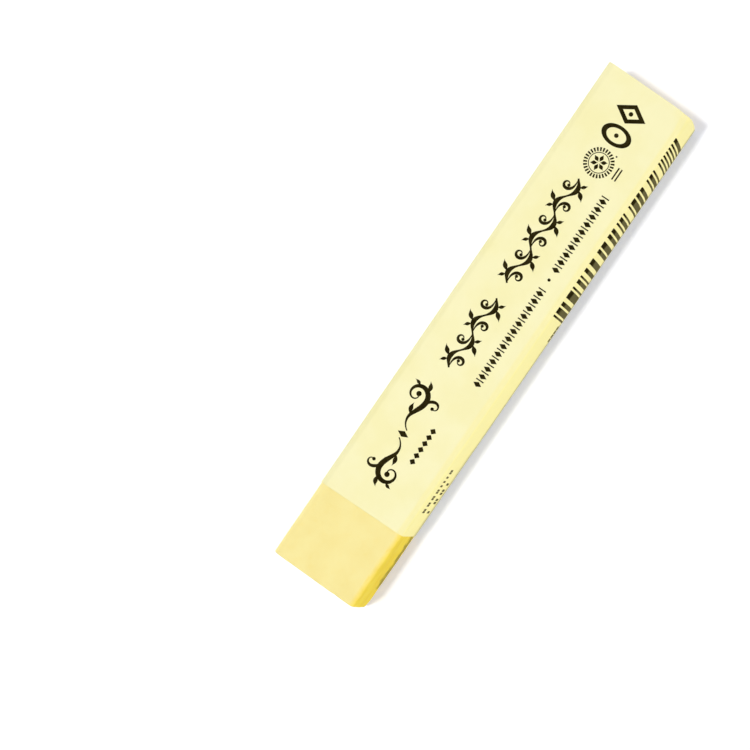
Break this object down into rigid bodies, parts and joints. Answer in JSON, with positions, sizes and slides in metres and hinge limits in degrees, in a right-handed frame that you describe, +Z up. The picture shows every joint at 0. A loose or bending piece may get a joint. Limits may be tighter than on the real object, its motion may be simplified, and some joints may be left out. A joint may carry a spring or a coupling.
{
  "type": "soft pastel stick",
  "caption": "Square stick of pressed soft pastel, bare at its drawing end and wrapped in a printed paper sleeve.",
  "frame": {"origin": "middle of the underside, on the surface that the stick lies on", "axes": "+X along the stick, from the bare drawing end to the wrapped end; +Z up through the printed face; +Y towards the side with the glued lap"},
  "size_m": [0.0652, 0.0109, 0.0109],
  "materials": {
    "pastel": "matte, chalky pressed pigment",
    "sleeve_paper": "thin coated paper with a soft sheen, printed pale yellow",
    "print_ink": "thin dark olive printing ink, dried nearly matte"
  },
  "bodies": {
    "root": {"pastel_stick": "pastel", "paper_sleeve": "sleeve_paper"}
  },
  "joints": []
}
